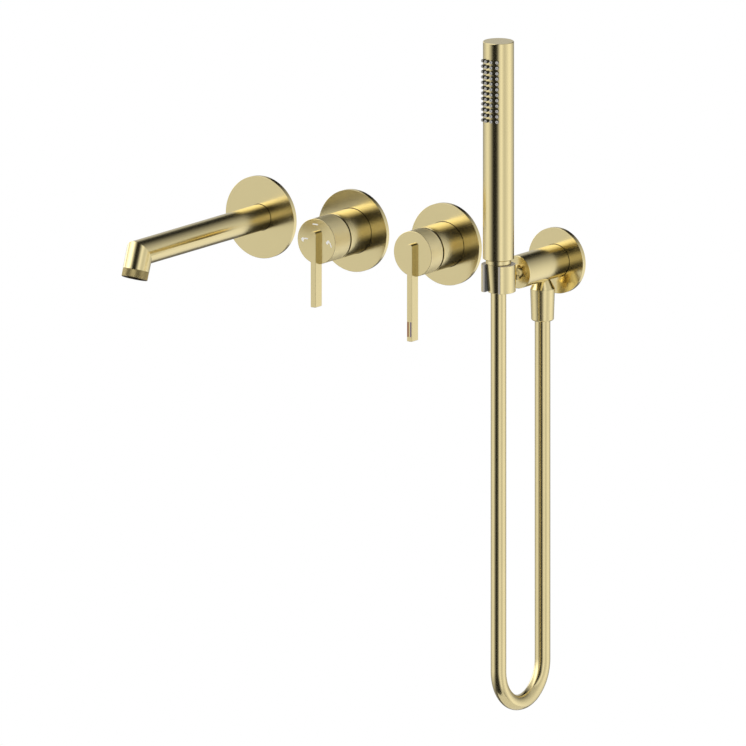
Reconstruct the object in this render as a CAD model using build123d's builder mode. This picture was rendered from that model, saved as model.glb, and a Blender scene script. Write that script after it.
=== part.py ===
"""Wall mounted bath faucet: spout, diverter, mixer and a hand shower on a holder with its hose.

Millimetres. X runs along the wall, +Y into the wall, +Z up. The origin is where the spout's
axis meets the wall. Turned pieces are outlines of (radius, distance along their own axis).
"""
from build123d import *
from math import atan2, cos, degrees, pi, radians, sin, tan
import os

# Stations along the wall
SPOUT_X = 0.0
DIVERTER_X = 101.6
MIXER_X = 203.2
OUTLET_X = 324.65

# Wall plates, with a gasket groove behind and a seal groove in the bore
PLATE_R = 37.5
OUTLET_PLATE_R = 30.0
PLATE_T = 4.1
PLATE_EDGE = 0.15
PLATE_CLEARANCE = 0.4
GASKET_W = 4.0
GASKET_T = 1.5
GASKET_INSET = 2.5
SEAL_W = 1.2
SEAL_T = 1.4
SEAL_SETBACK = 0.5
LOOSE = 0.05

# Pipe threads that go into the wall
HALF_INCH_R = 10.48
THREE_QUARTER_R = 13.22
NIPPLE_NECK_R = 10.3
NIPPLE_BORE_R = 7.5
NIPPLE_DEPTH = 20.0
NIPPLE_REACH = 15.0

# Spout
SPOUT_R = 12.0
SPOUT_BORE_R = 10.5
SPOUT_MITRE = 192.0
NOZZLE_ANGLE = 70.0
NOZZLE_END = 23.5
AERATOR_H = 7.6
AERATOR_SKIRT = 5.0
AERATOR_BORE_R = 9.2
AERATOR_LIP_R = 8.4
AERATOR_LIP_H = 1.6
AERATOR_LIP_LAND = 0.5
AERATOR_MOUTH_R = 10.6
AERATOR_HOLE_R = 1.15
AERATOR_PITCH = 1.75
AERATOR_SEAL_T = 1.8
AERATOR_SEAL_W = 2.5

# Valves behind the two handles
SLEEVE_R = 20.7
SLEEVE_BORE_R = 19.2
SLEEVE_LIP_R = 18.0
SLEEVE_LIP_T = 1.2
SLEEVE_FRONT = 34.3
SLEEVE_BACK = -8.0
SLEEVE_EDGE = 0.25
GLIDE_RING_R = 19.4
GLIDE_RING_GAP = 0.3
VALVE_FLANGE_R = 19.1
VALVE_FLANGE_BACK = -12.0
VALVE_FLANGE_FRONT = 8.0
VALVE_STUB_BACK = -28.0
VALVE_NECK_R = 14.8
VALVE_NECK_FRONT = 22.0
VALVE_BORE_R = 12.45
VALVE_BORE_BACK = -4.0
VALVE_WATERWAY_R = 5.0
CARTRIDGE_R = 12.4
CARTRIDGE_SHOULDER = 23.9
CARTRIDGE_BOSS_R = 7.5
CARTRIDGE_FRONT = 27.5
NUT_FLATS = 33.0
NUT_BACK = 14.0
NUT_FRONT = 27.0
SPINDLE_R = 5.0
SPINDLE_BACK = 5.0
SPINDLE_END_GAP = 1.0
SPINDLE_SQUARE = 6.8
SPINDLE_SQUARE_BACK = 30.0
SPINDLE_FRONT = 45.5
RUNNING_FIT = 0.05

# Knobs and levers
KNOB_BACK = 35.8
KNOB_WALL = 2.0
KNOB_FLOOR = 3.0
KNOB_EDGE = 0.25
KNOB_RIM = 0.55
KNOB_RIM_DROP = 0.22
KNOB_HUB_R = 7.5
KNOB_HUB_BACK = 36.6
DIVERTER_FACE = 60.3
MIXER_FACE = 54.6
LEVER_W = 5.5
LEVER_D = 9.6
LEVER_EMBED = 4.5
LEVER_TOP = 9.7
DIVERTER_LEVER_END = 59.7
MIXER_LEVER_END = 79.6
LEVER_ROUND = 0.6
LEVER_CORNER = 0.8
LEVER_EDGE = 0.25
LEVER_SCREW_R = 1.5
LEVER_SCREW_HEAD_R = 2.5
LEVER_SCREW_HEAD_T = 2.0
LEVER_SCREW_BITE = 4.5
LEVER_SCREW_Z = (-10.4, -15.6)
SCREW_RUNOUT = 0.3
GRUB_R = 1.5
GRUB_Y = 41.0
GRUB_ACCESS_R = 1.7

# Hand shower outlet and its holder
OUTLET_R = 15.0
OUTLET_FRONT = 65.0
OUTLET_EDGE = 0.4
OUTLET_BORE_R = 8.0
OUTLET_BORE_END = 40.0
NON_RETURN_BACK = -4.0
NON_RETURN_FRONT = 11.0
NON_RETURN_SEAT = 7.5
PORT_Y = 24.7
PORT_R = 5.0
PORT_SPIGOT_TOP = -8.3
HOSE_CONE_TOP_R = 7.0
HOSE_CONE_TOP = -14.0
HOSE_CONE_END_R = 11.0
HOSE_CONE_END = -21.7
HOSE_SPIGOT_R = 9.0
HOSE_SPIGOT_END = -33.0
HOSE_WATERWAY_R = 4.0
HOSE_NUT_TOP_R = 11.1
HOSE_NUT_END_R = 10.2
HOSE_NUT_END = -50.7
HOSE_NUT_EDGE = 0.8
HOSE_WASHER_T = 2.0
HOSE_R = 7.0
HOSE_BEND = -361.0

CLIP_Y = 93.5
CLIP_R = 15.5
CLIP_BORE_R = 14.85
CLIP_HALF_H = 12.5
CLIP_SLOT = 15.0
CLIP_CUT = 11.2
CLIP_ROUND = 0.5
NECK_R = 6.7
NECK_WAIST_R = 3.7
NECK_FLANGE = 1.2
NECK_SHANK_R = 3.0
NECK_SHANK_L = 11.0
CLIP_SCREW_R = 2.0
CLIP_SCREW_HEAD_R = 3.2
CLIP_SCREW_HEAD_T = 1.4
CLIP_SCREW_L = 8.0
CLIP_SCREW_HEAD_GAP = 0.5

# Hand shower
CONE_END = -13.1
CONE_END_R = 9.3
CONE_TOP = 12.95
CONE_TOP_R = 11.2
CONE_EDGE = 0.2
CONE_BORE_R = 7.05
CONE_BORE_END = -4.5
SEAT_CLEARANCE = 0.1
HANDSET_NECK_R = 11.3
HANDSET_NECK_END = 13.2
HANDSET_NECK_TOP = 15.9
HANDSET_R = 14.0
HANDSET_END = 17.8
HANDSET_BORE_R = 12.2
HANDSET_FLOOR = 22.0
HANDSET_TOP = 217.0
HANDSET_EDGE = 0.4
CAP_R = 12.9
CAP_T = 4.0
SPIGOT_R = 7.0
SPIGOT_BORE_R = 4.5
SPIGOT_END = -2.4
SPIGOT_TOP = 24.0
NOZZLE_ROWS = 12
NOZZLE_TOP = 200.4
NOZZLE_PITCH = 4.95
NOZZLE_ANGLES = (-30.0, -10.0, 10.0, 30.0)
NOZZLE_BASE_R = 1.65
NOZZLE_TIP_R = 1.4
NOZZLE_TALL = 2.9
STRIP_BACK_R = 10.6
STRIP_MARGIN = 4.5
STRIP_SPREAD = 42.0
INNER_TUBE_R = 8.8
INNER_TUBE_BORE_R = 7.2
CARRIER_R = 10.5
CARRIER_BORE_R = 9.0
CARRIER_SLOT = 1.2
CARRIER_FLOOR = 2.5

OUTWARD = Vector(0, -1, 0)
UP = Vector(0, 0, 1)
ALONG = Vector(1, 0, 0)


def turned(outline, origin, direction):
    """A turned piece: the outline's points are (radius, distance from origin along direction)."""
    profile = Plane(origin=origin, x_dir=ALONG, z_dir=ALONG.cross(direction))
    with BuildPart() as piece:
        with BuildSketch(profile):
            with BuildLine():
                Polyline(*outline, close=True)
            make_face()
        revolve(axis=Axis(origin, direction))
    return piece


def tube_outline(bore_r, outer_r, start, end):
    return [(bore_r, start), (outer_r, start), (outer_r, end), (bore_r, end)]


def wall_plane(x, out):
    """A plane parallel to the wall, its normal outward, its own X and Y along X and Z."""
    return Plane(origin=(x, -out, 0), x_dir=ALONG, z_dir=OUTWARD)


def keep(piece, name):
    piece.part.label = name
    export_step(piece.part, f"parts/{name}.step")


def wall_plate(name, x, plate_r, neck_r):
    """A wall plate round a neck, with the gasket let into its back and the seal in its bore."""
    at_wall = (x, 0, 0)
    bore_r = neck_r + PLATE_CLEARANCE
    gasket_out = plate_r - GASKET_INSET
    gasket_in = gasket_out - GASKET_W
    seal_front = PLATE_T - SEAL_SETBACK
    seal_back = seal_front - SEAL_T
    seal_out = neck_r + LOOSE + SEAL_W
    plate = turned(
        [
            (bore_r, 0), (gasket_in, 0), (gasket_in, GASKET_T), (gasket_out, GASKET_T),
            (gasket_out, 0), (plate_r, 0), (plate_r, PLATE_T - PLATE_EDGE),
            (plate_r - PLATE_EDGE, PLATE_T), (bore_r, PLATE_T), (bore_r, seal_front),
            (seal_out + LOOSE, seal_front), (seal_out + LOOSE, seal_back), (bore_r, seal_back),
        ],
        at_wall, OUTWARD,
    )
    keep(plate, f"{name}_plate")
    gasket = turned(
        tube_outline(gasket_in + LOOSE, gasket_out - LOOSE, 0, GASKET_T - LOOSE), at_wall, OUTWARD
    )
    keep(gasket, f"{name}_plate_gasket")
    seal = turned(
        tube_outline(neck_r + LOOSE, seal_out, seal_back + LOOSE, seal_front - LOOSE), at_wall, OUTWARD
    )
    keep(seal, f"{name}_plate_seal")


def wall_nipple(name, x):
    """A threaded nipple: its half inch end in the wall, its neck screwed into the fitting."""
    nipple = turned(
        [
            (NIPPLE_BORE_R, -NIPPLE_DEPTH), (HALF_INCH_R, -NIPPLE_DEPTH), (HALF_INCH_R, 0),
            (NIPPLE_NECK_R, 0), (NIPPLE_NECK_R, NIPPLE_REACH), (NIPPLE_BORE_R, NIPPLE_REACH),
        ],
        (x, 0, 0), OUTWARD,
    )
    keep(nipple, f"{name}_nipple")


def spout():
    wall_plate("spout", SPOUT_X, PLATE_R, SPOUT_R)
    wall_nipple("spout", SPOUT_X)

    slope = radians(NOZZLE_ANGLE)
    nozzle_dir = Vector(0, -cos(slope), -sin(slope))
    mitre = Vector(SPOUT_X, -SPOUT_MITRE, 0)
    tube_end = NOZZLE_END - AERATOR_H

    with BuildPart() as tube:
        with BuildLine() as run:
            Polyline((SPOUT_X, 0, 0), mitre, mitre + nozzle_dir * tube_end)
        with BuildSketch(wall_plane(SPOUT_X, 0)):
            Circle(SPOUT_R)
            Circle(SPOUT_BORE_R, mode=Mode.SUBTRACT)
        sweep(path=run.line, transition=Transition.RIGHT)
    keep(tube, "spout_tube")

    lip = NOZZLE_END - AERATOR_LIP_H
    skirt_top = tube_end - AERATOR_SKIRT
    ring_top = tube_end + LOOSE
    skirt_r = SPOUT_BORE_R - LOOSE
    edge = OUTLET_EDGE
    ring = turned(
        [
            (AERATOR_BORE_R, skirt_top), (skirt_r, skirt_top), (skirt_r, ring_top),
            (SPOUT_R, ring_top), (SPOUT_R, NOZZLE_END - edge), (SPOUT_R - edge, NOZZLE_END),
            (AERATOR_MOUTH_R, NOZZLE_END), (AERATOR_LIP_R, lip + AERATOR_LIP_LAND), (AERATOR_LIP_R, lip),
            (AERATOR_BORE_R, lip),
        ],
        mitre, nozzle_dir,
    )
    keep(ring, "aerator_ring")

    insert_r = AERATOR_BORE_R - LOOSE
    insert_top = skirt_top + AERATOR_SEAL_T
    nozzle_plane = Plane(origin=mitre, x_dir=ALONG, z_dir=nozzle_dir)
    with BuildPart() as insert:
        with BuildSketch(nozzle_plane.offset(insert_top)):
            Circle(insert_r)
            with HexLocations(AERATOR_PITCH, 5, 5):
                Circle(AERATOR_HOLE_R, mode=Mode.SUBTRACT)
        extrude(amount=lip - LOOSE - insert_top)
    keep(insert, "aerator_insert")

    seal = turned(
        tube_outline(insert_r - AERATOR_SEAL_W, insert_r, skirt_top, insert_top - LOOSE),
        mitre, nozzle_dir,
    )
    keep(seal, "aerator_seal")


def valve(name, x):
    """The fixed half of a handle: plate, sleeve, glide ring, valve body, cartridge and its nut."""
    at_wall = (x, 0, 0)
    wall_plate(name, x, PLATE_R, SLEEVE_R)

    lip_back = SLEEVE_FRONT - SLEEVE_LIP_T
    sleeve = turned(
        [
            (SLEEVE_BORE_R, SLEEVE_BACK), (SLEEVE_R, SLEEVE_BACK), (SLEEVE_R, SLEEVE_FRONT - SLEEVE_EDGE),
            (SLEEVE_R - SLEEVE_EDGE, SLEEVE_FRONT), (SLEEVE_LIP_R, SLEEVE_FRONT),
            (SLEEVE_LIP_R, lip_back), (SLEEVE_BORE_R, lip_back),
        ],
        at_wall, OUTWARD,
    )
    keep(sleeve, f"{name}_sleeve")
    glide_front = KNOB_BACK - GLIDE_RING_GAP
    glide = turned(
        tube_outline(SLEEVE_LIP_R, GLIDE_RING_R, SLEEVE_FRONT + LOOSE, glide_front), at_wall, OUTWARD
    )
    keep(glide, f"{name}_glide_ring")

    body = turned(
        [
            (VALVE_WATERWAY_R, VALVE_STUB_BACK), (THREE_QUARTER_R, VALVE_STUB_BACK),
            (THREE_QUARTER_R, VALVE_FLANGE_BACK), (VALVE_FLANGE_R, VALVE_FLANGE_BACK),
            (VALVE_FLANGE_R, VALVE_FLANGE_FRONT), (VALVE_NECK_R, VALVE_FLANGE_FRONT),
            (VALVE_NECK_R, VALVE_NECK_FRONT), (VALVE_BORE_R, VALVE_NECK_FRONT),
            (VALVE_BORE_R, VALVE_BORE_BACK), (VALVE_WATERWAY_R, VALVE_BORE_BACK),
        ],
        at_wall, OUTWARD,
    )
    keep(body, f"{name}_valve_body")

    spindle_bore = SPINDLE_R + RUNNING_FIT
    bore_floor = SPINDLE_BACK - SPINDLE_END_GAP
    cartridge = turned(
        [
            (0, VALVE_BORE_BACK + LOOSE), (CARTRIDGE_R, VALVE_BORE_BACK + LOOSE),
            (CARTRIDGE_R, CARTRIDGE_SHOULDER), (CARTRIDGE_BOSS_R, CARTRIDGE_SHOULDER),
            (CARTRIDGE_BOSS_R, CARTRIDGE_FRONT), (spindle_bore, CARTRIDGE_FRONT),
            (spindle_bore, bore_floor), (0, bore_floor),
        ],
        at_wall, OUTWARD,
    )
    keep(cartridge, f"{name}_cartridge")

    with BuildPart() as nut:
        with BuildSketch(wall_plane(x, NUT_BACK)):
            RegularPolygon(radius=NUT_FLATS / 2, side_count=6, major_radius=False)
        extrude(amount=NUT_FRONT - NUT_BACK)
        with BuildSketch(wall_plane(x, NUT_BACK)):
            Circle(VALVE_NECK_R + LOOSE)
        extrude(amount=CARTRIDGE_SHOULDER + LOOSE - NUT_BACK, mode=Mode.SUBTRACT)
        with BuildSketch(wall_plane(x, NUT_BACK)):
            Circle(CARTRIDGE_BOSS_R + PLATE_CLEARANCE)
        extrude(amount=NUT_FRONT - NUT_BACK, mode=Mode.SUBTRACT)
    keep(nut, f"{name}_retaining_nut")


def handle(name, x, face, lever_end):
    """The turning half: spindle, knob, and the lever let into the knob's face."""
    lever_back = face - LEVER_EMBED
    cavity_end = lever_back - KNOB_FLOOR
    round_z = LEVER_TOP - LEVER_W / 2
    lever_mid_z = (round_z - lever_end) / 2
    lever_length = round_z + lever_end

    with BuildPart() as spindle:
        with BuildSketch(wall_plane(x, SPINDLE_BACK)):
            Circle(SPINDLE_R)
        extrude(amount=SPINDLE_SQUARE_BACK - SPINDLE_BACK)
        with BuildSketch(wall_plane(x, SPINDLE_SQUARE_BACK)):
            Rectangle(SPINDLE_SQUARE, SPINDLE_SQUARE)
        extrude(amount=SPINDLE_FRONT - SPINDLE_SQUARE_BACK)
    keep(spindle, f"{name}_spindle")

    blank = turned(
        [
            (0, KNOB_BACK), (SLEEVE_R - KNOB_EDGE, KNOB_BACK), (SLEEVE_R, KNOB_BACK + KNOB_EDGE),
            (SLEEVE_R, face - KNOB_RIM_DROP), (SLEEVE_R - KNOB_RIM, face), (0, face),
        ],
        (x, 0, 0), OUTWARD,
    )
    with BuildPart() as knob:
        add(blank.part)
        with BuildSketch(wall_plane(x, KNOB_BACK)):
            Circle(SLEEVE_R - KNOB_WALL)
        extrude(amount=cavity_end - KNOB_BACK, mode=Mode.SUBTRACT)
        with BuildSketch(wall_plane(x, KNOB_HUB_BACK)):
            Circle(KNOB_HUB_R)
        extrude(amount=cavity_end - KNOB_HUB_BACK)
        with BuildSketch(wall_plane(x, KNOB_HUB_BACK)):
            Rectangle(SPINDLE_SQUARE + 2 * LOOSE, SPINDLE_SQUARE + 2 * LOOSE)
        extrude(amount=SPINDLE_FRONT + LOOSE - KNOB_HUB_BACK, mode=Mode.SUBTRACT)
        slot_end = SLEEVE_R + KNOB_WALL
        with BuildSketch(wall_plane(x, lever_back - LOOSE)):
            with Locations((0, (round_z - slot_end) / 2)):
                Rectangle(LEVER_W + 2 * LOOSE, round_z + slot_end)
            with Locations((0, round_z)):
                Circle(LEVER_W / 2 + LOOSE)
        extrude(amount=LEVER_D, mode=Mode.SUBTRACT)
        with BuildSketch(wall_plane(x, cavity_end)):
            with Locations(*[(0, z) for z in LEVER_SCREW_Z]):
                Circle(LEVER_SCREW_R + LOOSE)
        extrude(amount=KNOB_FLOOR, mode=Mode.SUBTRACT)
        with BuildSketch(Plane.XY.offset(-SPINDLE_SQUARE / 2)):
            with Locations((x, -GRUB_Y)):
                Circle(GRUB_R + LOOSE)
        extrude(amount=-KNOB_HUB_R, mode=Mode.SUBTRACT)
        with BuildSketch(Plane.XY.offset(-SLEEVE_R + 2 * KNOB_WALL)):
            with Locations((x, -GRUB_Y)):
                Circle(GRUB_ACCESS_R)
        extrude(amount=-2 * KNOB_WALL, mode=Mode.SUBTRACT)
    keep(knob, f"{name}_knob")

    with BuildPart() as lever:
        with BuildSketch(wall_plane(x, lever_back)):
            with Locations((0, lever_mid_z)):
                Rectangle(LEVER_W, lever_length)
            with Locations((0, round_z)):
                Circle(LEVER_W / 2)
        extrude(amount=LEVER_D)
        fillet(lever.edges().filter_by(Axis.Y).group_by(Axis.Z)[0], radius=LEVER_CORNER)
        fillet(lever.faces().sort_by(Axis.Y)[0].edges(), radius=LEVER_ROUND)
        chamfer(lever.faces().sort_by(Axis.Y)[-1].edges(), length=LEVER_EDGE)
        with BuildSketch(wall_plane(x, lever_back)):
            with Locations(*[(0, z) for z in LEVER_SCREW_Z]):
                Circle(LEVER_SCREW_R + LOOSE)
        extrude(amount=LEVER_SCREW_BITE + SCREW_RUNOUT, mode=Mode.SUBTRACT)
    keep(lever, f"{name}_lever")

    with BuildPart() as screws:
        with BuildSketch(wall_plane(x, cavity_end - LEVER_SCREW_HEAD_T)):
            with Locations(*[(0, z) for z in LEVER_SCREW_Z]):
                Circle(LEVER_SCREW_HEAD_R)
        extrude(amount=LEVER_SCREW_HEAD_T)
        with BuildSketch(wall_plane(x, cavity_end)):
            with Locations(*[(0, z) for z in LEVER_SCREW_Z]):
                Circle(LEVER_SCREW_R)
        extrude(amount=KNOB_FLOOR + LEVER_SCREW_BITE)
    keep(screws, f"{name}_lever_screws")

    grub_top = -SPINDLE_SQUARE / 2 - 2 * LOOSE
    with BuildPart() as grub:
        with BuildSketch(Plane.XY.offset(grub_top)):
            with Locations((x, -GRUB_Y)):
                Circle(GRUB_R)
        extrude(amount=grub_top + KNOB_HUB_R, dir=(0, 0, -1))
    keep(grub, f"{name}_grub_screw")


def outlet():
    """The fixed water outlet that also carries the hand shower's holder."""
    at_wall = (OUTLET_X, 0, 0)
    port = (OUTLET_X, -PORT_Y, 0)
    wall_plate("outlet", OUTLET_X, OUTLET_PLATE_R, OUTLET_R)
    wall_nipple("outlet", OUTLET_X)

    shank_back = OUTLET_FRONT - NECK_SHANK_L
    thread_end = NIPPLE_REACH + LOOSE
    thread_r = NIPPLE_NECK_R + LOOSE
    with BuildPart() as body:
        with BuildSketch(wall_plane(OUTLET_X, 0)):
            Circle(OUTLET_R)
        extrude(amount=OUTLET_FRONT)
        chamfer(body.edges().filter_by(GeomType.CIRCLE).sort_by(Axis.Y)[0], length=OUTLET_EDGE)
        with BuildSketch(wall_plane(OUTLET_X, 0)):
            Circle(thread_r)
        extrude(amount=thread_end, mode=Mode.SUBTRACT)
        with BuildSketch(wall_plane(OUTLET_X, 0)):
            Circle(OUTLET_BORE_R)
        extrude(amount=OUTLET_BORE_END, mode=Mode.SUBTRACT)
        with BuildSketch(wall_plane(OUTLET_X, shank_back - SCREW_RUNOUT)):
            Circle(NECK_SHANK_R + LOOSE)
        extrude(amount=OUTLET_FRONT, mode=Mode.SUBTRACT)
        with BuildSketch(Plane.XY):
            with Locations((OUTLET_X, -PORT_Y)):
                Circle(PORT_R + LOOSE)
        extrude(amount=-2 * OUTLET_R, mode=Mode.SUBTRACT)
    keep(body, "outlet_body")

    check_r = NIPPLE_BORE_R - LOOSE
    non_return = turned(
        [
            (HOSE_WATERWAY_R, NON_RETURN_BACK), (check_r, NON_RETURN_BACK), (check_r, NON_RETURN_FRONT),
            (PORT_R, NON_RETURN_FRONT), (HOSE_WATERWAY_R, NON_RETURN_SEAT),
        ],
        at_wall, OUTWARD,
    )
    keep(non_return, "non_return_valve")

    taper = (HOSE_CONE_END_R - HOSE_CONE_TOP_R) / (HOSE_CONE_TOP - HOSE_CONE_END)
    cone_start = -OUTLET_R + HOSE_CONE_TOP_R
    cone_start_r = HOSE_CONE_TOP_R - (cone_start - HOSE_CONE_TOP) * taper
    with BuildPart() as hose_outlet:
        with BuildSketch(Plane(origin=port, x_dir=ALONG, z_dir=OUTWARD)):
            with BuildLine():
                Polyline(
                    (0, cone_start), (cone_start_r, cone_start), (HOSE_CONE_END_R, HOSE_CONE_END),
                    (HOSE_SPIGOT_R, HOSE_CONE_END), (HOSE_SPIGOT_R, HOSE_SPIGOT_END),
                    (0, HOSE_SPIGOT_END), close=True,
                )
            make_face()
        revolve(axis=Axis(port, UP))
        with BuildSketch(wall_plane(OUTLET_X, 0)):
            Circle(OUTLET_R + LOOSE)
        extrude(amount=OUTLET_FRONT, mode=Mode.SUBTRACT)
        with BuildSketch(Plane.XY.offset(HOSE_SPIGOT_END)):
            with Locations((OUTLET_X, -PORT_Y)):
                Circle(PORT_R)
        extrude(amount=PORT_SPIGOT_TOP - HOSE_SPIGOT_END)
        with BuildSketch(Plane.XY.offset(HOSE_SPIGOT_END)):
            with Locations((OUTLET_X, -PORT_Y)):
                Circle(HOSE_WATERWAY_R)
        extrude(amount=-HOSE_SPIGOT_END, mode=Mode.SUBTRACT)
    keep(hose_outlet, "hose_outlet")

    washer_end = HOSE_SPIGOT_END - HOSE_WASHER_T
    washer = turned(
        tube_outline(HOSE_WATERWAY_R, HOSE_SPIGOT_R, washer_end + LOOSE, HOSE_SPIGOT_END - LOOSE), port, UP
    )
    keep(washer, "hose_washer")

    nut_top = HOSE_CONE_END - LOOSE
    nut_bore = HOSE_SPIGOT_R + LOOSE
    nut = turned(
        [
            (nut_bore, nut_top), (HOSE_NUT_TOP_R, nut_top), (HOSE_NUT_END_R, HOSE_NUT_END + HOSE_NUT_EDGE),
            (HOSE_NUT_END_R - HOSE_NUT_EDGE, HOSE_NUT_END), (HOSE_WATERWAY_R, HOSE_NUT_END),
            (HOSE_WATERWAY_R, washer_end), (nut_bore, washer_end),
        ],
        port, UP,
    )
    keep(nut, "hose_nut")


def hose():
    """The hose: straight down from its nut, round a half turn, straight up to the hand shower."""
    bend_r = (CLIP_Y - PORT_Y) / 2
    mid_y = (CLIP_Y + PORT_Y) / 2
    half_side = bend_r * tan(radians(22.5))
    down = (OUTLET_X, -PORT_Y, HOSE_NUT_END)
    up = (OUTLET_X, -CLIP_Y, CONE_END)
    corners = [
        (OUTLET_X, -mid_y + bend_r, HOSE_BEND - half_side),
        (OUTLET_X, -mid_y + half_side, HOSE_BEND - bend_r),
        (OUTLET_X, -mid_y - half_side, HOSE_BEND - bend_r),
        (OUTLET_X, -mid_y - bend_r, HOSE_BEND - half_side),
    ]
    route = [down, *corners, up]

    radii = []
    for before, corner, after in zip(route, route[1:], route[2:]):
        arriving = Vector(corner) - Vector(before)
        leaving = Vector(after) - Vector(corner)
        turn = radians(arriving.get_angle(leaving))
        radii.append(0.45 * min(arriving.length, leaving.length) / tan(turn / 2))
    print("hose radii", [round(r, 1) for r in radii])

    with BuildPart() as tube:
        with BuildLine() as line:
            FilletPolyline(*route, radius=radii)
        with BuildSketch(Plane(origin=down, x_dir=ALONG, z_dir=(0, 0, -1))):
            Circle(HOSE_R)
        sweep(path=line.line)
    length = sum(edge.length for edge in line.line.edges())
    print("hose length", round(length, 1))
    print("hose volume over section times length", round(tube.part.volume / (pi * HOSE_R**2 * length), 4))
    keep(tube, "hose")


def holder():
    """The neck on the outlet's end and the split clip, with its liner that seats the hose cone."""
    clip_axis = (OUTLET_X, -CLIP_Y, 0)
    clip_back = CLIP_Y - CLIP_R
    waist = (OUTLET_FRONT + NECK_FLANGE + clip_back) / 2

    with BuildPart() as neck:
        with BuildSketch(Plane(origin=(OUTLET_X, 0, 0), x_dir=ALONG, z_dir=ALONG.cross(OUTWARD))):
            with BuildLine():
                Polyline(
                    (NECK_R, clip_back), (NECK_R, CLIP_Y), (0, CLIP_Y),
                    (0, OUTLET_FRONT - NECK_SHANK_L), (NECK_SHANK_R, OUTLET_FRONT - NECK_SHANK_L),
                    (NECK_SHANK_R, OUTLET_FRONT), (NECK_R, OUTLET_FRONT),
                    (NECK_R, OUTLET_FRONT + NECK_FLANGE),
                )
                ThreePointArc(
                    (NECK_R, OUTLET_FRONT + NECK_FLANGE), (NECK_WAIST_R, waist), (NECK_R, clip_back)
                )
            make_face()
        revolve(axis=Axis((OUTLET_X, 0, 0), OUTWARD))
        with BuildSketch(Plane(origin=clip_axis).offset(-2 * CLIP_HALF_H)):
            Circle(CLIP_R + LOOSE / 2)
        extrude(amount=4 * CLIP_HALF_H, mode=Mode.SUBTRACT)
        with BuildSketch(wall_plane(OUTLET_X, clip_back - CLIP_SCREW_L)):
            Circle(CLIP_SCREW_R + LOOSE)
        extrude(amount=CLIP_Y, mode=Mode.SUBTRACT)
    keep(neck, "holder_neck")

    shell_depth = CLIP_R - CLIP_BORE_R
    head_back = clip_back + shell_depth + CLIP_SCREW_HEAD_GAP
    screw_tip = clip_back - CLIP_SCREW_L + SCREW_RUNOUT
    with BuildPart() as screw:
        with BuildSketch(wall_plane(OUTLET_X, screw_tip)):
            Circle(CLIP_SCREW_R)
        extrude(amount=head_back - screw_tip)
        with BuildSketch(wall_plane(OUTLET_X, head_back)):
            Circle(CLIP_SCREW_HEAD_R)
        extrude(amount=CLIP_SCREW_HEAD_T)
    keep(screw, "clip_screw")

    cut_span = 2 * CLIP_R
    with BuildPart() as clip:
        with BuildSketch(Plane(origin=clip_axis).offset(-CLIP_HALF_H)):
            Circle(CLIP_R)
            Circle(CLIP_BORE_R, mode=Mode.SUBTRACT)
            with Locations((0, -CLIP_CUT - cut_span / 2)):
                Rectangle(2 * cut_span, cut_span, mode=Mode.SUBTRACT)
        extrude(amount=2 * CLIP_HALF_H)
        low_arcs = clip.faces().sort_by(Axis.Z)[0].edges().filter_by(GeomType.CIRCLE)
        fillet(low_arcs.sort_by(SortBy.RADIUS)[-1], radius=CLIP_ROUND)
        with BuildSketch(wall_plane(OUTLET_X, screw_tip)):
            Circle(CLIP_SCREW_R + LOOSE)
        extrude(amount=CLIP_R, mode=Mode.SUBTRACT)
    keep(clip, "holder_clip")

    seat_slope = (CONE_TOP_R - CONE_END_R) / (CONE_TOP - CONE_END)
    seat_low_r = CONE_END_R + (-CLIP_HALF_H - CONE_END) * seat_slope + SEAT_CLEARANCE
    seat_high_r = CONE_END_R + (CLIP_HALF_H - CONE_END) * seat_slope + SEAT_CLEARANCE
    liner_r = CLIP_BORE_R - LOOSE
    with BuildPart() as liner:
        with BuildSketch(Plane(origin=clip_axis).offset(-CLIP_HALF_H)):
            Circle(liner_r)
        extrude(amount=2 * CLIP_HALF_H)
        with BuildSketch(Plane(origin=clip_axis).offset(-CLIP_HALF_H)):
            with Locations((0, -CLIP_CUT - cut_span / 2)):
                Rectangle(2 * cut_span, cut_span)
            with Locations((0, -cut_span / 2)):
                Rectangle(CLIP_SLOT, cut_span)
        extrude(amount=2 * CLIP_HALF_H, mode=Mode.SUBTRACT)
        with BuildSketch(Plane(origin=clip_axis, x_dir=ALONG, z_dir=OUTWARD)):
            with BuildLine():
                Polyline(
                    (0, -CLIP_HALF_H), (seat_low_r, -CLIP_HALF_H), (seat_high_r, CLIP_HALF_H),
                    (0, CLIP_HALF_H), close=True,
                )
            make_face()
        revolve(axis=Axis(clip_axis, UP), mode=Mode.SUBTRACT)
        with BuildSketch(wall_plane(OUTLET_X, clip_back)):
            Circle(CLIP_SCREW_HEAD_R + LOOSE)
        extrude(amount=head_back - clip_back + CLIP_SCREW_HEAD_T + LOOSE, mode=Mode.SUBTRACT)
    keep(liner, "clip_liner")


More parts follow.
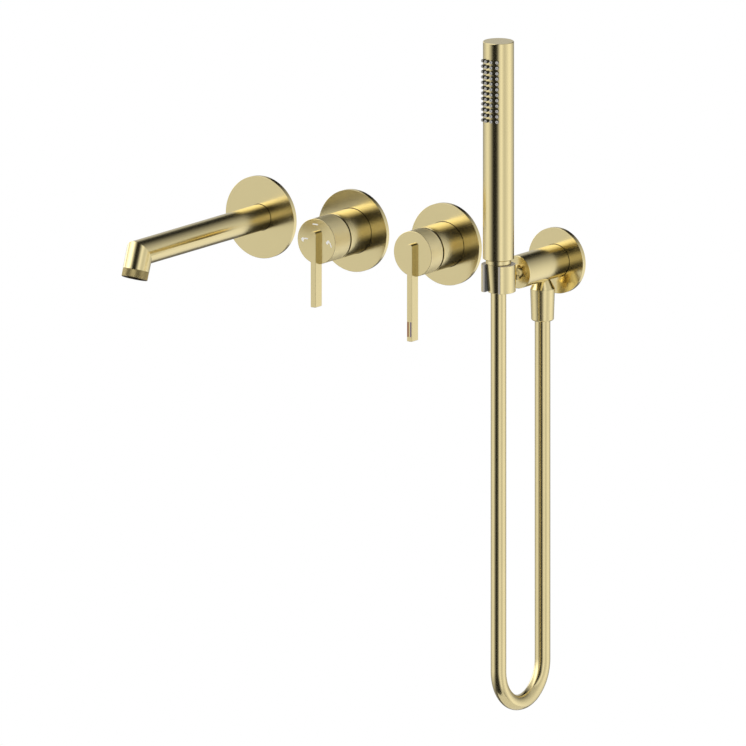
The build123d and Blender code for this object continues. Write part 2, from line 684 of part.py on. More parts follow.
def hand_shower():
    """The stick hand shower, upright on the hose cone that stands in the clip."""
    foot = (OUTLET_X, -CLIP_Y, 0)
    cone = turned(
        [
            (SPIGOT_BORE_R, CONE_END), (CONE_END_R - CONE_EDGE, CONE_END),
            (CONE_END_R, CONE_END + CONE_EDGE), (CONE_TOP_R, CONE_TOP), (CONE_BORE_R, CONE_TOP),
            (CONE_BORE_R, CONE_BORE_END), (SPIGOT_BORE_R, CONE_BORE_END),
        ],
        foot, UP,
    )
    keep(cone, "handset_cone")
    washer = turned(
        tube_outline(SPIGOT_BORE_R, SPIGOT_R, CONE_BORE_END + LOOSE, SPIGOT_END - 2 * LOOSE), foot, UP
    )
    keep(washer, "handset_washer")
    spigot = turned(tube_outline(SPIGOT_BORE_R, SPIGOT_R, SPIGOT_END, SPIGOT_TOP), foot, UP)
    keep(spigot, "handset_spigot")

    rows = [NOZZLE_TOP - row * NOZZLE_PITCH for row in range(NOZZLE_ROWS)]
    spray_end = rows[-1] - STRIP_MARGIN
    spray_top = rows[0] + STRIP_MARGIN
    aims = [Vector(sin(radians(angle)), -cos(radians(angle)), 0) for angle in NOZZLE_ANGLES]
    cap_floor = HANDSET_TOP - CAP_T

    with BuildPart() as body:
        with BuildSketch(Plane(origin=foot, x_dir=ALONG, z_dir=OUTWARD)):
            with BuildLine():
                Polyline(
                    (CONE_BORE_R, HANDSET_NECK_END), (HANDSET_NECK_R, HANDSET_NECK_END),
                    (HANDSET_NECK_R, HANDSET_NECK_TOP), (HANDSET_R, HANDSET_END),
                    (HANDSET_R, HANDSET_TOP - HANDSET_EDGE), (HANDSET_R - HANDSET_EDGE, HANDSET_TOP),
                    (CAP_R + LOOSE, HANDSET_TOP), (CAP_R + LOOSE, cap_floor), (HANDSET_BORE_R, cap_floor),
                    (HANDSET_BORE_R, HANDSET_FLOOR), (CONE_BORE_R, HANDSET_FLOOR), close=True,
                )
            make_face()
        revolve(axis=Axis(foot, UP))
        for aim in aims:
            for z in rows:
                with BuildSketch(Plane(origin=(OUTLET_X, -CLIP_Y, z), x_dir=UP, z_dir=aim)):
                    Circle(NOZZLE_BASE_R + LOOSE)
                extrude(amount=HANDSET_R + CLIP_R, mode=Mode.SUBTRACT)
    keep(body, "handset_body")

    cap = turned(
        [
            (0, cap_floor + LOOSE), (CAP_R, cap_floor + LOOSE), (CAP_R, HANDSET_TOP), (0, HANDSET_TOP),
        ],
        foot, UP,
    )
    keep(cap, "handset_cap")

    strip_front_r = HANDSET_BORE_R - LOOSE
    strip_angle = radians(STRIP_SPREAD)
    nub_root = STRIP_BACK_R + LOOSE
    nub_length = HANDSET_R + NOZZLE_TALL - nub_root
    nub_taper = degrees(atan2(NOZZLE_BASE_R - NOZZLE_TIP_R, nub_length))
    strip_half = strip_front_r * sin(strip_angle)
    with BuildPart() as strip:
        with BuildSketch(Plane(origin=foot).offset(spray_end)):
            Circle(strip_front_r)
            Circle(STRIP_BACK_R, mode=Mode.SUBTRACT)
            with Locations((0, -strip_front_r)):
                Rectangle(2 * strip_half, 2 * strip_front_r * (1 - cos(strip_angle)), mode=Mode.INTERSECT)
        extrude(amount=spray_top - spray_end)
        for aim in aims:
            for z in rows:
                level = Plane(origin=(OUTLET_X, -CLIP_Y, z), x_dir=UP, z_dir=aim)
                with BuildSketch(level.offset(nub_root)):
                    Circle(NOZZLE_BASE_R)
                extrude(amount=nub_length, taper=nub_taper)
    keep(strip, "nozzle_strip")

    inner_tube = turned(
        tube_outline(INNER_TUBE_BORE_R, INNER_TUBE_R, HANDSET_FLOOR + LOOSE, spray_end - LOOSE), foot, UP
    )
    keep(inner_tube, "handset_inner_tube")

    carrier_top = spray_top + CARRIER_FLOOR
    spray_mid = (rows[0] + rows[-1]) / 2
    with BuildPart() as carrier:
        with BuildSketch(Plane(origin=foot, x_dir=ALONG, z_dir=OUTWARD)):
            with BuildLine():
                Polyline(
                    (0, carrier_top), (CARRIER_R, carrier_top), (CARRIER_R, spray_end),
                    (INNER_TUBE_BORE_R, spray_end), (INNER_TUBE_BORE_R, spray_end + CARRIER_SLOT),
                    (CARRIER_BORE_R, spray_end + CARRIER_SLOT), (CARRIER_BORE_R, spray_top),
                    (0, spray_top), close=True,
                )
            make_face()
        revolve(axis=Axis(foot, UP))
        for aim in aims:
            with BuildSketch(Plane(origin=(OUTLET_X, -CLIP_Y, spray_mid), x_dir=UP, z_dir=aim)):
                Rectangle(rows[0] - rows[-1], CARRIER_SLOT)
            extrude(amount=HANDSET_R, mode=Mode.SUBTRACT)
    keep(carrier, "spray_carrier")


os.makedirs("parts", exist_ok=True)
spout()
for valve_name, station in (("diverter", DIVERTER_X), ("mixer", MIXER_X)):
    valve(valve_name, station)
handle("diverter", DIVERTER_X, DIVERTER_FACE, DIVERTER_LEVER_END)
handle("mixer", MIXER_X, MIXER_FACE, MIXER_LEVER_END)
outlet()
hose()
holder()
hand_shower()
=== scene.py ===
"""Dresses the wall mounted bath faucet: satin gold, knurled knobs, spray nubs, marks and the hose.

Metres, in the frame of the solids: X runs along the wall, +Y into the wall, +Z up. Distances out
from the wall are called out, and are -Y. Sizes are named in millimetres, those of the camera and
the floor in metres.
"""
import bpy
from math import cos, pi, radians, sin, tan
from mathutils import Matrix, Vector


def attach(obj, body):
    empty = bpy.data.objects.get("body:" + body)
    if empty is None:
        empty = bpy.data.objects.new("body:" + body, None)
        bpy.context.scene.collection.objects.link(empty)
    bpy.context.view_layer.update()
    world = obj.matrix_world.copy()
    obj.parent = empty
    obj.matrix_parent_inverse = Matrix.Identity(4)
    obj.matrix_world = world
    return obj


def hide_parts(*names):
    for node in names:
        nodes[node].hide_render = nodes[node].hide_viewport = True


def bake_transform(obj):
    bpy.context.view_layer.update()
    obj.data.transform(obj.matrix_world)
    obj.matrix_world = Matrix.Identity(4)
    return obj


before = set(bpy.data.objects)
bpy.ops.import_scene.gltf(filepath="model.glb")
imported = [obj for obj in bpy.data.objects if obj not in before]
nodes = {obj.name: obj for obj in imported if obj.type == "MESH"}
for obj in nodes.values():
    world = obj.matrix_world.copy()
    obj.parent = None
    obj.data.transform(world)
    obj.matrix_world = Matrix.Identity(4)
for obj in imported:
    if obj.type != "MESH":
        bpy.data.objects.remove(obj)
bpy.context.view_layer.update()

MM = 0.001
RIGHT = Vector((1, 0, 0))
OUT = Vector((0, -1, 0))
UP = Vector((0, 0, 1))
# A vector times one of these keeps only its part in the wall's plane, or in a level one
IN_WALL_PLANE = Vector((1, 0, 1))
IN_LEVEL_PLANE = Vector((1, 1, 0))

# The photograph's view, which is a parallel one
VIEW_AZIMUTH = radians(35.1)
VIEW_ELEVATION = radians(12.02)
VIEW_WIDTH = 0.6697
VIEW_MID_RIGHT = 0.0992
VIEW_MID_UP = -0.1405
CAMERA_DISTANCE = 3.0

# Places shared with the solids
DIVERTER_X = 101.6
MIXER_X = 203.2
OUTLET_X = 324.65
PORT_OUT = 24.7
CLIP_OUT = 93.5
CLIP_SLOT = 15.0

# Meshes: the steps of an arc, how far a surface turns at an edge before it is shaded sharp there, and
# how far it turns at an edge before that is rounded, in a few steps
ARC_STEPS = 24
SHARP_EDGE = radians(20)
SHARP_ROUND = radians(40)
SHARP_KNURL = radians(50)
BEVEL_FROM = radians(45)
BEVEL_STEPS = 2

# Hose
HOSE_D = 14.0
HOSE_TOP = -50.7
HOSE_CONE = -13.1
HOSE_BEND = -361.0
HOSE_SIDES = 40
HOSE_STEPS = 24

# Knobs: the outside is knurled, the front has the lever's slot
KNOB_R = 20.7
KNOB_BACK = 36.3
KNOB_EDGE = 0.25
KNOB_RIM = 0.2
KNOB_RIM_DROP = 0.1
KNOB_WALL = 2.0
KNOB_FLOOR = 3.0
KNOB_HUB_R = 7.5
KNOB_HUB_BORE_R = 4.9
KNOB_HUB_BACK = 36.6
KNOB_HUB_FLOOR = 45.6
KNOB_TEETH = 144
KNOB_TOOTH_DEPTH = 0.2
DIVERTER_FACE = 60.3
MIXER_FACE = 54.6
GRUB_OUT = 41.0
GRUB_ACCESS_R = 1.7
# Faces whose normal has more than this share along the knob's axis belong to its flat ends
KNOB_FLAT = 0.7

# Levers
LEVER_W = 5.5
LEVER_D = 9.6
LEVER_EMBED = 4.5
LEVER_TOP = 9.7
LEVER_CLEARANCE = 0.05
LEVER_CORNER = 0.8
LEVER_EDGE = 0.15
DIVERTER_LEVER_END = 59.7
MIXER_LEVER_END = 79.6

# Aerator ring
MITRE_OUT = 192.0
NOZZLE_ANGLE = radians(70.0)
NOZZLE_AIM = Vector((0, -cos(NOZZLE_ANGLE), -sin(NOZZLE_ANGLE)))
RING_R = 12.0
RING_TOP = 15.95
RING_END = 23.5
RING_SKIRT_TOP = 10.9
RING_SKIRT_R = 10.45
RING_BORE_R = 9.2
RING_LIP_R = 8.4
RING_LIP_H = 1.6
RING_LIP_LAND = 0.5
RING_MOUTH_R = 10.6
RING_RIM = 0.55
RING_EDGE = 0.4
RING_TEETH = 40
RING_TOOTH_DEPTH = 0.35

# Hand shower: the tube, and the neck under it. The step between them falls a hair towards the neck.
TUBE_R = 14.0
TUBE_END = 17.8
NECK_R = 11.3
NECK_TOP = 15.9
STEP_FALL = 0.05
# A point of the mesh is at a height when it is this near to it
MESH_NEAR = 0.01

# Spray nubs
NUB_ROWS = 12
NUB_TOP = 200.4
NUB_PITCH = 4.95
NUB_ANGLES = (-30.0, -10.0, 10.0, 30.0)
NUB_ROOT = 10.65
NUB_TIP = 16.9
NUB_BASE_R = 1.65
NUB_TIP_R = 1.4
NUB_ROUND = 0.35
NUB_ROUND_STEPS = (radians(30), radians(60), radians(90))
NUB_HOLE_R = 0.4
NUB_HOLE_DEPTH = 1.2
NUB_SIDES = 20

# Marks, a hair proud of the face that they are printed on
MARK_PROUD = 0.02
MARK_SUNK = 0.05
# On the mixer's lever: a warm and a cold line, given by their left and right sides
MARK_SIDES = {"red": (-2.5, -0.8), "blue": (0.7, 2.1)}
MARK_H = 13.7
MARK_LIFT = 4.2
# On the diverter's face: a spout at the left, a hand shower at the right, and a plain line on top
BATH_MARKS = {
    "spout_head": [(-16.9, 0.9), (-14.6, 2.3), (-13.1, 0.9), (-13.7, -0.2), (-14.2, -1.9), (-15.9, -1.5)],
    "spout_arm": [(-13.4, 2.0), (-9.4, 1.9), (-9.3, 0.9), (-13.1, 0.7)],
    "shower_head": [(10.1, 0.1), (12.6, 2.6), (14.3, 1.5), (11.9, -1.7)],
    "shower_grip": [(14.45, 1.3), (15.2, 0.4), (16.8, -3.3), (16.0, -3.7), (14.4, -0.2), (13.75, 0.4)],
    "top_line": [(-4.2, 15.1), (1.6, 15.1), (1.6, 16.1), (-4.2, 16.1)],
}

# Finishes: the range that most of a noise lies in, the scales of noises, and how high bumps stand.
# A metal's gloss varies at a share of its grain's scale
NOISE_LOW = 0.3
NOISE_HIGH = 0.7
METAL_CLOUDS = 24.0
METAL_GLOSS = 0.4
METAL_BUMP = 0.02
RING_GLOSS = 3000.0
PLASTIC_CLOUDS = 90.0
PLASTIC_GLOSS = 400.0
PLASTIC_BUMP = 0.04
# The liner's painted shade ends, and it turns pale, just past the sides of the slot
LINER_PALE_FROM = 0.02
LINER_PALE_OVER = 0.08
# Turned gloss is drawn out a quarter turn from the tangent, which runs round the tube. Flat ends have
# no way round, and take a steady tangent
GLOSS_TURN = 0.25
STEADY_TANGENT = (0.001, 0, 0)

# Floor
FLOOR_Z = -1.1
FLOOR_X = (-0.15, 0.9)
FLOOR_Y = (-0.36, 0.8)
FLOOR_DARK = (0.80, 0.80, 0.79)
FLOOR_LIGHT = (0.84, 0.84, 0.83)
FLOOR_CLOUDS = 3.0
FLOOR_GLOSS = 60.0
FLOOR_ROUGH = (0.6, 0.7)

# How bright the studio is all round, by azimuth in degrees from straight out of the wall: a panel
# at the left, a dark gap in front, a panel at the right, a large one behind right
STUDIO = (
    (-180, 1.0), (-170, 0.88), (-160, 0.62), (-148, 0.46), (-105, 0.66), (-80, 0.69), (-60, 0.83),
    (-46, 0.84), (-36, 0.69), (-18, 0.28), (-4, 0.03), (3, 0.0), (15, 0.0), (30, 0.22), (43, 0.74),
    (53, 1.0), (65, 0.84), (80, 0.65), (120, 1.04), (132, 1.13), (146, 1.18), (154, 1.14), (163, 1.08),
    (172, 1.06), (180, 1.0),
)
# A ramp holds no level above 1, so there the levels are shares of this one
BRIGHTEST = 1.2
# The gap leans: its left edge moves left low down and right high up, its right edge away from the
# horizon. Each lean, gain or shade is a stretch of elevation and the values at its two ends
GAP_MID = radians(9)
LEFT_LEAN_LOW = (radians(-36), radians(-12), radians(-11), 0.0)
LEFT_LEAN_HIGH = (radians(12), radians(36), 0.0, radians(5))
RIGHT_LEAN = (radians(10), radians(32), 0.0, radians(12))
# The left panel is brighter above the horizon, and darker far below it
LEFT_GAIN = (radians(-12.5), radians(19), 1.0, 2.4)
LEFT_LOW = (radians(-48), radians(-15), 0.15, 1.0)
# Behind, the upper left is shaded, with a small panel beside it, and a brighter one is further left.
# A panel has a direction, the angles from it to its edge and its full part, and a brightness
SHADED_CORNER = Vector((-0.33, 0.80, 0.50))
SHADED_FROM = radians(17)
SHADED_TO = radians(90)
SIDE_PANELS = (
    (Vector((-0.60, 0.79, 0.10)), radians(30), radians(10), 0.53),
    (Vector((-0.95, 0.31, 0.10)), radians(21), radians(9), 2.0),
)
# Below, the light falls off
LOW_SHADE = (radians(-66), radians(-34), 0.12, 1.0)
EVEN_LIGHT = 0.9
WHITE = (1, 1, 1, 1)


# Helpers

def at(x, out, z):
    """A point given in millimetres, with its distance out from the wall."""
    return Vector((x, -out, z)) * MM


def new_mesh(name, points, faces):
    mesh = bpy.data.meshes.new(name)
    mesh.from_pydata([tuple(p) for p in points], [], faces)
    mesh.validate()
    mesh.update()
    piece = bpy.data.objects.new(name, mesh)
    bpy.context.scene.collection.objects.link(piece)
    return piece


def shade(piece, angle):
    """Smooth faces, with a sharp edge wherever the surface turns by more than angle."""
    piece.data.shade_smooth()
    piece.data.set_sharp_from_angle(angle=angle)


def axis_frame(origin, axis, start):
    """Maps a place's own (x, y, z) to the scene, with z along axis and x along start."""
    z = Vector(axis).normalized()
    x = Vector(start).normalized()
    y = z.cross(x)
    turn = Matrix((x, y, z)).transposed().to_4x4()
    return Matrix.Translation(origin) @ turn


class Lathe:
    """Rings of points round one axis, joined in order into a closed skin."""

    def __init__(self, sides):
        self.sides = sides
        self.points = []
        self.faces = []
        self.last = None

    def add(self, r, side, z):
        turn = 2 * pi * side / self.sides
        self.points.append(Vector((r * cos(turn), r * sin(turn), z)) * MM)

    def ring(self, r, z):
        first = len(self.points)
        for side in range(self.sides):
            self.add(r, side, z)
        self.join(first)

    def tip(self, z):
        self.points.append(Vector((0, 0, z)) * MM)
        self.join(len(self.points) - 1, tip=True)

    def toothed(self, r, depth, start, end):
        """A diamond knurl: rows of points that are crests and crossings of grooves by turns.

        The number of rows is even, and makes the diamonds about as high as they are wide.
        """
        step = 2 * pi * r / self.sides
        rows = max(2, 2 * round((end - start) / step / 2))
        for row in range(rows + 1):
            z = start + (end - start) * row / rows
            first = len(self.points)
            for side in range(self.sides):
                crest = (side + row) % 2 == 1
                self.add(r if crest else r - depth, side, z)
            self.join(first, knurl_row=row if row else None)

    def join(self, first, tip=False, knurl_row=None):
        """Joins the ring or tip whose points start at first to the one before it."""
        before = self.last
        self.last = (first, tip)
        if before is None:
            return
        b, b_tip = before
        for i in range(self.sides):
            j = (i + 1) % self.sides
            if b_tip:
                self.faces.append((b, first + j, first + i))
            elif tip:
                self.faces.append((b + i, b + j, first))
            elif knurl_row is None:
                self.faces.append((b + i, b + j, first + j, first + i))
            elif (i + knurl_row) % 2 == 0:
                self.faces.append((b + i, b + j, first + i))
                self.faces.append((b + j, first + j, first + i))
            else:
                self.faces.append((b + i, b + j, first + j))
                self.faces.append((b + i, first + j, first + i))

    def close(self):
        """Joins the last ring to the first one, for a skin that goes round a bore."""
        self.join(0)

    def piece(self, name, place):
        return new_mesh(name, [place @ p for p in self.points], self.faces)


def apply_modifiers(piece):
    """Puts what a piece's modifiers make in place of its mesh."""
    bpy.context.view_layer.update()
    seen = piece.evaluated_get(bpy.context.evaluated_depsgraph_get())
    done = bpy.data.meshes.new_from_object(seen)
    piece.modifiers.clear()
    old = piece.data
    piece.data = done
    bpy.data.meshes.remove(old)


def round_edges(piece, width):
    """A small round on the edges between a piece's flat sides."""
    modifier = piece.modifiers.new("round", "BEVEL")
    modifier.width = width * MM
    modifier.segments = BEVEL_STEPS
    modifier.limit_method = "ANGLE"
    modifier.angle_limit = BEVEL_FROM
    apply_modifiers(piece)


def cut(piece, cutters):
    """Takes the cutters' solids out of a piece, and removes the cutters."""
    for cutter in cutters:
        modifier = piece.modifiers.new("cut", "BOOLEAN")
        modifier.operation = "DIFFERENCE"
        modifier.solver = "EXACT"
        modifier.object = cutter
    apply_modifiers(piece)
    for cutter in cutters:
        mesh = cutter.data
        bpy.data.objects.remove(cutter)
        bpy.data.meshes.remove(mesh)


def arc(mid, r, start, end):
    """Points on an arc in a plane, with its two ends."""
    turns = [start + (end - start) * i / ARC_STEPS for i in range(ARC_STEPS + 1)]
    return [(mid[0] + r * cos(turn), mid[1] + r * sin(turn)) for turn in turns]


def plate(name, outline, place, top, bottom):
    """A thin flat piece: outline in millimetres in the place's X and Y, between two heights."""
    n = len(outline)
    points = [place @ (Vector((x, y, z)) * MM) for z in (bottom, top) for x, y in outline]
    faces = [tuple(reversed(range(n))), tuple(range(n, 2 * n))]
    faces += [(i, (i + 1) % n, n + (i + 1) % n, n + i) for i in range(n)]
    return new_mesh(name, points, faces)


# Nodes of the materials and of the world

class Nodes:
    """Short calls for the nodes of a material or of the world."""

    def __init__(self, owner):
        owner.use_nodes = True
        self.tree = owner.node_tree

    def first(self, kind):
        return next(n for n in self.tree.nodes if n.type == kind)

    def link(self, source, target):
        self.tree.links.new(source, target)

    def add(self, kind, *inputs, **settings):
        """A new node, whose first inputs are linked to the outputs or set to the numbers given."""
        node = self.tree.nodes.new(kind)
        for key, value in settings.items():
            setattr(node, key, value)
        for socket, value in zip(node.inputs, inputs):
            if isinstance(value, bpy.types.NodeSocket):
                self.link(value, socket)
            else:
                socket.default_value = value
        return node

    def calculate(self, operation, *inputs):
        return self.add("ShaderNodeMath", *inputs, operation=operation).outputs[0]

    def vector(self, operation, *inputs):
        return self.add("ShaderNodeVectorMath", *inputs, operation=operation).outputs["Vector"]

    def measure(self, operation, *inputs):
        """A number that is worked out from vectors."""
        return self.add("ShaderNodeVectorMath", *inputs, operation=operation).outputs["Value"]

    def spread(self, value, start, end, low, high, **settings):
        """Goes from low to high as the value goes from start to end."""
        return self.add("ShaderNodeMapRange", value, start, end, low, high, **settings).outputs["Result"]


class Shader(Nodes):
    """A material, with short calls for what the finishes share."""

    def __init__(self, name):
        self.material = bpy.data.materials.new(name)
        super().__init__(self.material)
        self.bsdf = self.first("BSDF_PRINCIPLED")
        self.coords = self.add("ShaderNodeTexCoord").outputs["Object"]

    def constant(self, socket, value):
        self.bsdf.inputs[socket].default_value = value

    def noise(self, scale, detail=2.0, rough=0.5):
        noise = self.add("ShaderNodeTexNoise")
        self.link(self.coords, noise.inputs["Vector"])
        noise.inputs["Scale"].default_value = scale
        noise.inputs["Detail"].default_value = detail
        noise.inputs["Roughness"].default_value = rough
        return noise.outputs["Fac"]

    def tint(self, value, dark, light, start=NOISE_LOW, end=NOISE_HIGH):
        """Colours the surface from dark to light as the value goes from start to end."""
        ramp = self.add("ShaderNodeValToRGB", value)
        ramp.color_ramp.elements[0].position = start
        ramp.color_ramp.elements[0].color = (*dark, 1)
        ramp.color_ramp.elements[1].position = end
        ramp.color_ramp.elements[1].color = (*light, 1)
        self.link(ramp.outputs["Color"], self.bsdf.inputs["Base Color"])

    def bump(self, value, strength, distance):
        bump = self.add("ShaderNodeBump")
        bump.inputs["Strength"].default_value = strength
        bump.inputs["Distance"].default_value = distance
        self.link(value, bump.inputs["Height"])
        self.link(bump.outputs["Normal"], self.bsdf.inputs["Normal"])

    def roughness(self, value, low, high):
        rough = self.spread(value, NOISE_LOW, NOISE_HIGH, low, high)
        self.link(rough, self.bsdf.inputs["Roughness"])

    def from_axis(self, origin, axis):
        """How far the surface is from an axis."""
        away = self.vector("SUBTRACT", self.coords, origin)
        return self.measure("LENGTH", self.vector("CROSS_PRODUCT", away, axis))

    def beyond(self, origin, aim):
        """1 where the surface lies beyond a plane, else 0."""
        away = self.vector("SUBTRACT", self.coords, origin)
        return self.calculate("GREATER_THAN", self.measure("DOT_PRODUCT", away, aim), 0.0)

    def turned(self, amount):
        """Gloss that is softer along a tube than round it. The spout's nozzle has an axis of its own."""
        in_nozzle = self.beyond(at(0, MITRE_OUT, 0), OUT + NOZZLE_AIM)
        axis = self.vector("MULTIPLY_ADD", in_nozzle, NOZZLE_AIM - OUT, OUT)
        normal = self.add("ShaderNodeNewGeometry").outputs["Normal"]
        around = self.vector("CROSS_PRODUCT", normal, axis)
        tangent = self.vector("ADD", around, STEADY_TANGENT)
        self.link(tangent, self.bsdf.inputs["Tangent"])
        self.constant("Anisotropic", amount)
        self.constant("Anisotropic Rotation", GLOSS_TURN)


# Finishes

def shades(colour, vary):
    """The colour a little darker and a little lighter."""
    return [tuple(c * k for c in colour) for k in (1 - vary, 1 + vary)]


def metal(name, colour, rough, vary=0.012, grain=9000.0, bump=0.01, lathe=0.0):
    """Clouded colour, a gloss that varies, and a fine grain. With lathe, the gloss is a turned one."""
    shader = Shader(name)
    shader.constant("Metallic", 1.0)
    if lathe:
        shader.turned(lathe)
    shader.tint(shader.noise(METAL_CLOUDS, detail=3.0), *shades(colour, vary))
    shader.roughness(shader.noise(grain * METAL_GLOSS), *rough)
    shader.bump(shader.noise(grain, rough=0.6), bump, METAL_BUMP * MM)
    return shader.material


def plastic(name, colour, rough, vary, grain, bump, shine=0.5):
    """Clouded colour, a gloss that varies, and a moulded grain."""
    shader = Shader(name)
    shader.constant("Specular IOR Level", shine)
    shader.tint(shader.noise(PLASTIC_CLOUDS, detail=3.0), *shades(colour, vary))
    shader.roughness(shader.noise(PLASTIC_GLOSS), *rough)
    shader.bump(shader.noise(grain, detail=3.0, rough=0.6), bump, PLASTIC_BUMP * MM)
    return shader.material


def knurled_ring(name, groove, crest, rough):
    """The aerator ring's metal, with painted shade that darkens its grooves and mouth below its crests."""
    shader = Shader(name)
    shader.constant("Metallic", 1.0)
    r = shader.from_axis(at(0, MITRE_OUT, 0), NOZZLE_AIM)
    height = shader.spread(r, (RING_R - RING_TOOTH_DEPTH) * MM, RING_R * MM, 0.0, 1.0)
    shader.tint(height, groove, crest, start=0.0, end=1.0)
    shader.roughness(shader.noise(RING_GLOSS), *rough)
    return shader.material


def tipped(name, side, tip, rough):
    """Soft nubs with dark sides and pale tips, told apart by their distance from the hand shower's axis."""
    shader = Shader(name)
    r = shader.from_axis(at(OUTLET_X, CLIP_OUT, 0), UP)
    paleness = shader.spread(r, (NUB_TIP - 2 * NUB_ROUND) * MM, (NUB_TIP - NUB_ROUND) * MM, 0.0, 1.0)
    shader.tint(paleness, side, tip, start=0.0, end=1.0)
    shader.roughness(shader.noise(PLASTIC_GLOSS), *rough)
    return shader.material


def lined(name, inside, outside, rough):
    """The clip's liner, with painted shade: dark in the slot and the seat, and pale on its ends."""
    shader = Shader(name)
    x = shader.add("ShaderNodeSeparateXYZ", shader.coords).outputs["X"]
    from_middle = shader.calculate("ABSOLUTE", shader.calculate("SUBTRACT", x, OUTLET_X * MM))
    pale_from = CLIP_SLOT / 2 + LINER_PALE_FROM
    paleness = shader.spread(from_middle, pale_from * MM, (pale_from + LINER_PALE_OVER) * MM, 0.0, 1.0)
    shader.tint(paleness, inside, outside, start=0.0, end=1.0)
    shader.roughness(shader.noise(PLASTIC_GLOSS), *rough)
    return shader.material


GOLD = (0.871, 0.745, 0.402)
HOSE_GOLD = (0.832, 0.71, 0.385)
# A lighter copy of the gold, painted light that brightens the knurled bands
LIT_KNURL_GOLD = (0.95, 0.83, 0.48)
# A darker copy of the gold, painted shade for the holder's neck
SHADED_NECK_GOLD = (0.6, 0.47, 0.2)
BRASS = (0.72, 0.52, 0.22)
STEEL = (0.56, 0.56, 0.57)
BLACK_RUBBER = (0.018, 0.018, 0.019)
# Rubber of the glide rings, tinted brown as painted shade of the gold in the gap between knob and sleeve
GAP_SHADE_BROWN = (0.03, 0.018, 0.003)
DARK_PLASTIC = (0.07, 0.069, 0.066)
PALE_PLASTIC = (0.62, 0.61, 0.58)
PRINT_WHITE = (0.93, 0.915, 0.87)
PRINT_RED = (0.29, 0.105, 0.035)
PRINT_BLUE = (0.15, 0.11, 0.18)

METALS = {
    "satin_gold": dict(colour=GOLD, rough=(0.15, 0.18), bump=0.005),
    "turned_gold": dict(colour=GOLD, rough=(0.165, 0.195), bump=0.005, lathe=0.6),
    "knurled_gold": dict(colour=LIT_KNURL_GOLD, rough=(0.38, 0.44)),
    "dull_gold": dict(colour=GOLD, rough=(0.23, 0.26)),
    "shaded_neck_gold": dict(colour=SHADED_NECK_GOLD, rough=(0.1, 0.13), vary=0.02),
    "hose_gold": dict(colour=HOSE_GOLD, rough=(0.17, 0.2), vary=0.015, grain=6000.0, bump=0.005),
    "raw_brass": dict(colour=BRASS, rough=(0.3, 0.42), vary=0.08, grain=2500.0, bump=0.2),
    "screw_steel": dict(colour=STEEL, rough=(0.25, 0.36), vary=0.05, grain=3000.0, bump=0.15),
}
PLASTICS = {
    "seal_rubber": dict(
        colour=BLACK_RUBBER, rough=(0.55, 0.7), vary=0.15, grain=3000.0, bump=0.25, shine=0.15
    ),
    # The glide rings are rubber; their brown colour is painted shade of the gap
    "glide_rubber_gap_shade": dict(
        colour=GAP_SHADE_BROWN, rough=(0.5, 0.6), vary=0.1, grain=900.0, bump=0.1, shine=0.05
    ),
    "spray_plastic": dict(colour=DARK_PLASTIC, rough=(0.36, 0.48), vary=0.08, grain=2200.0, bump=0.12),
    "valve_plastic": dict(colour=PALE_PLASTIC, rough=(0.36, 0.5), vary=0.04, grain=2200.0, bump=0.12),
    "print_white": dict(colour=PRINT_WHITE, rough=(0.4, 0.5), vary=0.03, grain=4000.0, bump=0.1),
    "print_red": dict(colour=PRINT_RED, rough=(0.38, 0.48), vary=0.06, grain=4000.0, bump=0.1),
    "print_blue": dict(colour=PRINT_BLUE, rough=(0.38, 0.48), vary=0.06, grain=4000.0, bump=0.1),
}
finishes = {name: metal(name, **look) for name, look in METALS.items()}
finishes.update({name: plastic(name, **look) for name, look in PLASTICS.items()})
# The groove colour is painted shade; the crest colour is the ring's gold
finishes["ring_gold"] = knurled_ring(
    "ring_gold", groove=(0.2, 0.15, 0.06), crest=(0.88, 0.74, 0.36), rough=(0.2, 0.26)
)
finishes["silicone"] = tipped(
    "silicone", side=(0.035, 0.035, 0.03), tip=(0.45, 0.44, 0.415), rough=(0.42, 0.55)
)
# The liner's inside colour is painted shade of the slot and the seat; its outside colour is that of the
# ends
finishes["liner_plastic"] = lined(
    "liner_plastic", inside=(0.17, 0.175, 0.185), outside=(0.42, 0.385, 0.33), rough=(0.34, 0.46)
)

# Nodes of the solids whose look differs from the rest of their slot
LOOKS = {
    # The holder's neck takes the darker gold, which is painted shade
    "hose_nut": "dull_gold", "holder_neck": "shaded_neck_gold",
    "diverter_glide_ring": "glide_rubber_gap_shade", "mixer_glide_ring": "glide_rubber_gap_shade",
    "diverter_sleeve": "turned_gold", "mixer_sleeve": "turned_gold",
    "outlet_body": "turned_gold", "spout_tube": "turned_gold",
}
for node in nodes.values():
    for holder in node.material_slots:
        holder.material = finishes[holder.material.name.split(".")[0]]
for node_name, look in LOOKS.items():
    nodes[node_name].material_slots[0].material = finishes[look]


def finish(piece, name):
    """Gives a piece its finish."""
    piece.data.materials.clear()
    piece.data.materials.append(finishes[name])


# Hose: the line of the route's spline, then a tube round it

def hose_route():
    """The line's control points, out and up: from the outlet down, round the bend, and up to the cone.

    The bend's points are corners of an octagon, inside which the line is nearly a half circle.
    """
    bend_r = (CLIP_OUT - PORT_OUT) / 2
    mid_out = (CLIP_OUT + PORT_OUT) / 2
    half_side = bend_r * tan(radians(22.5))
    side = 2 * half_side
    return [
        (PORT_OUT, HOSE_TOP),
        (PORT_OUT, HOSE_BEND - half_side + side),
        (PORT_OUT, HOSE_BEND - half_side),
        (mid_out - half_side, HOSE_BEND - bend_r),
        (mid_out + half_side, HOSE_BEND - bend_r),
        (CLIP_OUT, HOSE_BEND - half_side),
        (CLIP_OUT, HOSE_BEND - half_side + side),
        (CLIP_OUT, HOSE_CONE),
    ]


